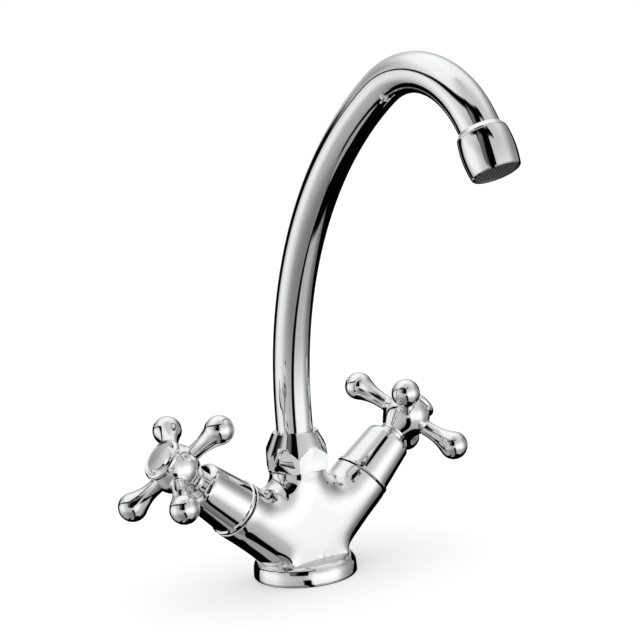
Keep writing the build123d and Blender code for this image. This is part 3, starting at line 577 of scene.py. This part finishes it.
def dress(shape, node, material, sharp=SHARP):
    """Makes a shape the skin of its node, shaded smooth except over sharp edges."""
    for face in shape.faces:
        face.smooth = True
    for edge in shape.edges:
        edge.smooth = edge.is_manifold and edge.calc_face_angle(0.0) < math.radians(sharp)
    mesh = bpy.data.meshes.new(f"{node}_skin")
    shape.to_mesh(mesh)
    shape.free()
    mesh.materials.clear()
    mesh.materials.append(material)
    piece = bpy.data.objects.new(f"{node}_skin", mesh)
    bpy.context.scene.collection.objects.link(piece)
    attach(piece, body_of(node))
    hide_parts(node)
    return piece


def joined_faces(shape, place, belongs):
    """The face nearest to the place and all that it joins, while they belong and no edge is a corner."""
    first = min(shape.faces, key=lambda face: (face.calc_center_median() - place).length)
    found, waiting = {first}, [first]
    while waiting:
        for edge in waiting.pop().edges:
            if edge.calc_face_angle(math.pi) < math.radians(CORNER):
                for face in edge.link_faces:
                    if face not in found and belongs(face.calc_center_median()):
                        found.add(face)
                        waiting.append(face)
    return found


def on_foot(place):
    """Whether a place lies on or just over one of the foot's two flat faces, at the arms' ends."""
    in_reach = CAST_LOW < place.z < FOOT_TOP and abs(place.x) < FOOT_WIDTH
    return in_reach and FOOT_HALF - FOOT_SLACK < abs(place.y) < FOOT_HALF + FOOT_PROUD


def relax(shape, start, belongs, rounds):
    """Splits the joined faces finely, then evens them out, as polishing softens a casting's creases."""
    mark = shape.faces.layers.int.new("cast")
    on_feet = {face for face in shape.faces if on_foot(face.calc_center_median())}
    for face in joined_faces(shape, Vector(start), belongs) | on_feet:
        face[mark] = 1
    for _ in range(SPLIT_PASSES):
        long_edges = [edge for edge in shape.edges if edge.calc_length() > FINE_EDGE
                      and any(face[mark] for face in edge.link_faces)]
        if not long_edges:
            break
        bmesh.ops.subdivide_edges(shape, edges=long_edges, cuts=1)
        bmesh.ops.triangulate(shape, faces=[face for face in shape.faces if len(face.verts) > 3])
        inner = [edge for edge in shape.edges if all(face[mark] for face in edge.link_faces)]
        bmesh.ops.beautify_fill(shape, faces=[face for face in shape.faces if face[mark]], edges=inner)
    layers = [[vert for vert in shape.verts if all(face[mark] for face in vert.link_faces)]]
    for _ in range(FADE_LAYERS - 1):
        kept = set(layers[-1])
        layers.append([vert for vert in layers[-1]
                       if all(edge.other_vert(vert) in kept for edge in vert.link_edges)])
    for turn in range(rounds):
        bmesh.ops.smooth_vert(shape, verts=layers[turn % FADE_LAYERS], factor=0.5,
                              use_axis_x=True, use_axis_y=True, use_axis_z=True)
    shape.faces.layers.int.remove(mark)


def build_body(material, slot):
    """The casting, with its creases softened between the neck, the arms and the foot."""
    shape = own_mesh("body")
    crossing = Vector(handle_joint("left")["pos_m"])    # where the two arms' axes meet
    arms = valve_axis("left"), valve_axis("right")

    def between_joints(place):
        reaches = [(place - crossing).dot(arm) for arm in arms]
        return CAST_LOW < place.z < CAST_HIGH and max(reaches) < CAST_REACH

    def on_flange(place):
        return FLANGE_LOW < place.z < FLANGE_HIGH and math.hypot(place.x, place.y) > FLANGE_IN

    # the arms' ends stand proud of the foot by a hair, which a polisher takes off
    proud = [vert for vert in shape.verts if on_foot(vert.co)]
    for vert in proud:
        vert.co.y = math.copysign(FOOT_HALF, vert.co.y)
    bmesh.ops.remove_doubles(shape, verts=proud, dist=FOOT_WELD)
    relax(shape, CAST_START, between_joints, CAST_ROUNDS)
    relax(shape, FLANGE_START, on_flange, FLANGE_ROUNDS)
    return dress(shape, "body", material, SHARP_ON_CASTING)


def build_shroud(side, material, slot):
    """The bell cover, lifted at its foot to the open joint that shows over the arm."""
    node = f"{side}_valve_shroud"
    shape = own_mesh(node)
    axis = valve_axis(side)
    foot = min(vert.co.dot(axis) for vert in shape.verts)
    crossing = Vector(handle_joint(side)["pos_m"])
    for vert in shape.verts:
        reach = vert.co.dot(axis)
        outwards = vert.co - crossing - axis * (vert.co - crossing).dot(axis)
        if reach < foot + RIM_HEIGHT + RIM_EDGE and outwards.length > COVER_R:
            vert.co += outwards.normalized() * RIM_PROUD
        if reach < foot + RIM_EDGE:
            vert.co += axis * SEAM_WIDTH
    return dress(shape, node, material)


def surface_middle(node):
    """Middle of a node's surface."""
    faces = NODES[node].data.polygons
    return sum((face.center * face.area for face in faces), Vector()) / sum(face.area for face in faces)


def mouth_direction():
    """Direction in which the spout's mouth faces."""
    return (surface_middle("aerator_screen") - surface_middle("aerator_washer")).normalized()


def build_housing(material, slot):
    """The screw cap at the mouth, with its lip as thin as it shows."""
    shape = own_mesh("aerator_housing")
    middle, outwards = surface_middle("aerator_screen"), mouth_direction()
    for vert in shape.verts:
        along = (vert.co - middle).dot(outwards)
        across = (vert.co - middle) - outwards * along
        if along > 0 and across.length < LIP_R:
            vert.co += across.normalized() * (LIP_R - across.length)
    return dress(shape, "aerator_housing", material)


def woven_wires():
    """Plain weave of round wires, flat and round the origin."""
    cloth = bpy.data.curves.new("wire_cloth", "CURVE")
    cloth.dimensions = "3D"
    cloth.bevel_depth = WIRE_R
    cloth.bevel_resolution = 1
    cloth.resolution_u = 2
    count = int(SCREEN_R / WIRE_PITCH)
    for line in range(-count, count + 1):
        offset = line * WIRE_PITCH
        reach = math.sqrt(SCREEN_R ** 2 - offset ** 2)
        crossings = int(reach / WIRE_PITCH)
        steps = [-reach, *(step * WIRE_PITCH for step in range(-crossings, crossings + 1)), reach]
        for turned in (False, True):
            wire = cloth.splines.new("NURBS")
            wire.points.add(len(steps) - 1)
            for index, (point, along) in enumerate(zip(wire.points, steps)):
                over = 1 if (line + index - crossings + turned) % 2 else -1
                level = over * WIRE_R * WIRE_CRIMP if 0 < index < len(steps) - 1 else 0
                point.co = (offset, along, level, 1) if turned else (along, offset, level, 1)
            wire.order_u = 3
            wire.use_endpoint_u = True
    holder = bpy.data.objects.new("wire_cloth", cloth)
    mesh = bpy.data.meshes.new_from_object(holder)
    shape = bmesh.new()
    shape.from_mesh(mesh)
    bpy.data.objects.remove(holder)
    bpy.data.meshes.remove(mesh)
    return shape


def build_screen(material, slot):
    """Plain-weave wire cloth crimped in a thin rim, just inside the mouth."""
    shape = woven_wires()
    to_rim = Matrix.Translation((SCREEN_R, 0, 0)) @ Matrix.Rotation(math.pi / 2, 4, "X")
    profile = bmesh.ops.create_circle(shape, segments=RIM_SIDES, radius=RIM_WIRE_R, matrix=to_rim)
    edges = list(dict.fromkeys(edge for vert in profile["verts"] for edge in vert.link_edges))
    bmesh.ops.spin(shape, geom=profile["verts"] + edges, cent=(0, 0, 0), axis=(0, 0, 1),
                   angle=2 * math.pi, steps=RIM_STEPS, use_merge=True)
    outwards = mouth_direction()
    turn = outwards.to_track_quat("Z", "Y").to_matrix().to_4x4()
    spot = surface_middle("aerator_screen") + outwards * SCREEN_ADVANCE
    bmesh.ops.transform(shape, matrix=Matrix.Translation(spot) @ turn, verts=shape.verts)
    bmesh.ops.recalc_face_normals(shape, faces=shape.faces)
    return dress(shape, "aerator_screen", material, SHARP_ON_WIRE)


def main():
    bpy.context.scene.view_settings.view_transform = "Standard"
    build_tent_and_floor()
    build_room()
    build_camera()
    finishes = build_finishes()
    slots = {part["node"]: part["material_slot"] for part in frame["record"]["subparts"]}
    build_body(finishes["chrome"], slots.pop("body"))
    for side in ("left", "right"):
        build_shroud(side, finishes["chrome"], slots.pop(f"{side}_valve_shroud"))
    build_housing(finishes["chrome"], slots.pop("aerator_housing"))
    build_screen(finishes["wire"], slots.pop("aerator_screen"))
    for node, slot in slots.items():
        if node.endswith("valve_bonnet"):
            slot = "chrome"     # the headwork's neck shows, and is plated
        on_valve = slot == "brass" and node.startswith(("left", "right"))
        dress(own_mesh(node), node, finishes["valve_brass" if on_valve else slot])


main()
